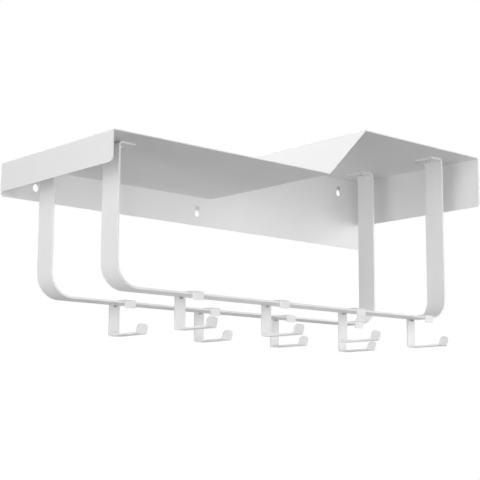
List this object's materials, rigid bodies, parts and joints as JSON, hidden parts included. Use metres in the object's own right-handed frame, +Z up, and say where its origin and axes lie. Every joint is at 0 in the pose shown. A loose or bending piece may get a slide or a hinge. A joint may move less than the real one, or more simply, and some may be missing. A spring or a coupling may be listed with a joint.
{
  "type": "wall coat rack with shelf",
  "caption": "Wall coat rack of folded sheet steel: a stepped shelf with end flanges over two flat-bar rails that carry sliding hooks.",
  "frame": {"origin": "on the wall face of the left back plate, at mid length of the rack, on the line through the round parts of the two lower keyholes", "axes": "+X along the wall towards the high deck, +Y into the wall, +Z up"},
  "size_m": [0.825, 0.3, 0.3515],
  "materials": {
    "shelf_coat": "satin white powder coat",
    "rail_coat": "satin white powder coat",
    "hook_coat": "satin white powder coat",
    "zinc_steel": "bright zinc plate"
  },
  "bodies": {
    "rack": {"shelf_sheet": "shelf_coat", "left_back_plate": "shelf_coat", "right_back_plate": "shelf_coat", "front_rail": "rail_coat", "rear_rail": "rail_coat", "left_wall_screw": "zinc_steel", "middle_wall_screw": "zinc_steel", "right_wall_screw": "zinc_steel", "front_left_stud": "zinc_steel", "front_right_stud": "zinc_steel", "rear_left_stud": "zinc_steel", "rear_right_stud": "zinc_steel", "front_left_nut": "zinc_steel", "front_right_nut": "zinc_steel", "rear_left_nut": "zinc_steel", "rear_right_nut": "zinc_steel"},
    "front_hook_1_set": {"front_hook_1": "hook_coat", "front_keeper_1": "zinc_steel"},
    "front_hook_2_set": {"front_hook_2": "hook_coat", "front_keeper_2": "zinc_steel"},
    "front_hook_3_set": {"front_hook_3": "hook_coat", "front_keeper_3": "zinc_steel"},
    "front_hook_4_set": {"front_hook_4": "hook_coat", "front_keeper_4": "zinc_steel"},
    "rear_hook_1_set": {"rear_hook_1": "hook_coat", "rear_keeper_1": "zinc_steel"},
    "rear_hook_2_set": {"rear_hook_2": "hook_coat", "rear_keeper_2": "zinc_steel"},
    "rear_hook_3_set": {"rear_hook_3": "hook_coat", "rear_keeper_3": "zinc_steel"},
    "rear_hook_4_set": {"rear_hook_4": "hook_coat", "rear_keeper_4": "zinc_steel"}
  },
  "joints": [
    {"name": "front_hook_1_slide", "type": "slide", "parent": "rack", "child": "front_hook_1_set", "axis": [1, 0, 0], "range_m": [-0.1, 0.079]},
    {"name": "front_hook_2_slide", "type": "slide", "parent": "rack", "child": "front_hook_2_set", "axis": [1, 0, 0], "range_m": [-0.079, 0.079]},
    {"name": "front_hook_3_slide", "type": "slide", "parent": "rack", "child": "front_hook_3_set", "axis": [1, 0, 0], "range_m": [-0.079, 0.079]},
    {"name": "front_hook_4_slide", "type": "slide", "parent": "rack", "child": "front_hook_4_set", "axis": [1, 0, 0], "range_m": [-0.079, 0]},
    {"name": "rear_hook_1_slide", "type": "slide", "parent": "rack", "child": "rear_hook_1_set", "axis": [1, 0, 0], "range_m": [-0.1, 0.079]},
    {"name": "rear_hook_2_slide", "type": "slide", "parent": "rack", "child": "rear_hook_2_set", "axis": [1, 0, 0], "range_m": [-0.079, 0.079]},
    {"name": "rear_hook_3_slide", "type": "slide", "parent": "rack", "child": "rear_hook_3_set", "axis": [1, 0, 0], "range_m": [-0.079, 0.079]},
    {"name": "rear_hook_4_slide", "type": "slide", "parent": "rack", "child": "rear_hook_4_set", "axis": [1, 0, 0], "range_m": [-0.079, 0]}
  ]
}
